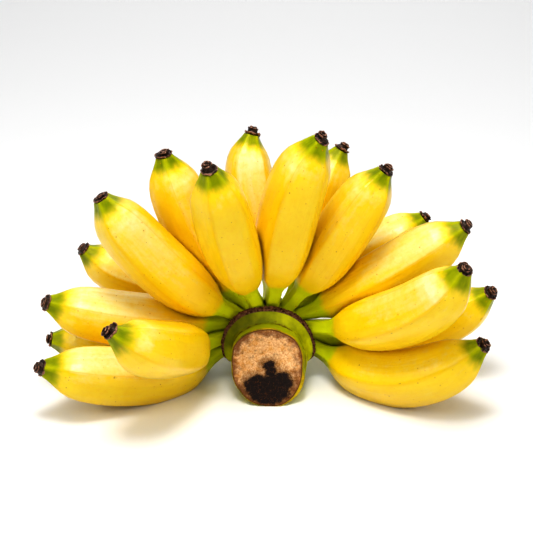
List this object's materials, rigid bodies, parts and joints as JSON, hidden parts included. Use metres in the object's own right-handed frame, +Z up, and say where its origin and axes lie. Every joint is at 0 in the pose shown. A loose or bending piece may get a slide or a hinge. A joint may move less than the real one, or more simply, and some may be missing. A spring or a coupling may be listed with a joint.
{
  "type": "hand of apple bananas",
  "caption": "Hand of short, fat apple bananas fanned out from one green crown on a cut piece of fruit stalk.",
  "frame": {"origin": "middle of the footprint, on the table", "axes": "+X right along the fan's width, -Y front, where the stalk's slanted cut faces, +Z up"},
  "size_m": [0.3036, 0.1514, 0.184],
  "materials": {
    "banana_skin": "ripe banana skin, satin yellow",
    "dried_flower": "dry, dark brown flower remnant",
    "green_stalk": "fresh green stalk skin, satin"
  },
  "bodies": {
    "root": {"crown_and_stalk": "green_stalk", "banana_low_left": "banana_skin", "flower_end_low_left": "dried_flower", "banana_low_left_back": "banana_skin", "flower_end_low_left_back": "dried_flower", "banana_mid_left": "banana_skin", "flower_end_mid_left": "dried_flower", "banana_near_left": "banana_skin", "flower_end_near_left": "dried_flower", "banana_mid_left_back": "banana_skin", "flower_end_mid_left_back": "dried_flower", "banana_high_left": "banana_skin", "flower_end_high_left": "dried_flower", "banana_upper_left": "banana_skin", "flower_end_upper_left": "dried_flower", "banana_near_top": "banana_skin", "flower_end_near_top": "dried_flower", "banana_top_back": "banana_skin", "flower_end_top_back": "dried_flower", "banana_top": "banana_skin", "flower_end_top": "dried_flower", "banana_upper_right_back": "banana_skin", "flower_end_upper_right_back": "dried_flower", "banana_upper_right": "banana_skin", "flower_end_upper_right": "dried_flower", "banana_high_right_back": "banana_skin", "flower_end_high_right_back": "dried_flower", "banana_high_right": "banana_skin", "flower_end_high_right": "dried_flower", "banana_near_right": "banana_skin", "flower_end_near_right": "dried_flower", "banana_mid_right": "banana_skin", "flower_end_mid_right": "dried_flower", "banana_low_right": "banana_skin", "flower_end_low_right": "dried_flower"}
  },
  "joints": []
}
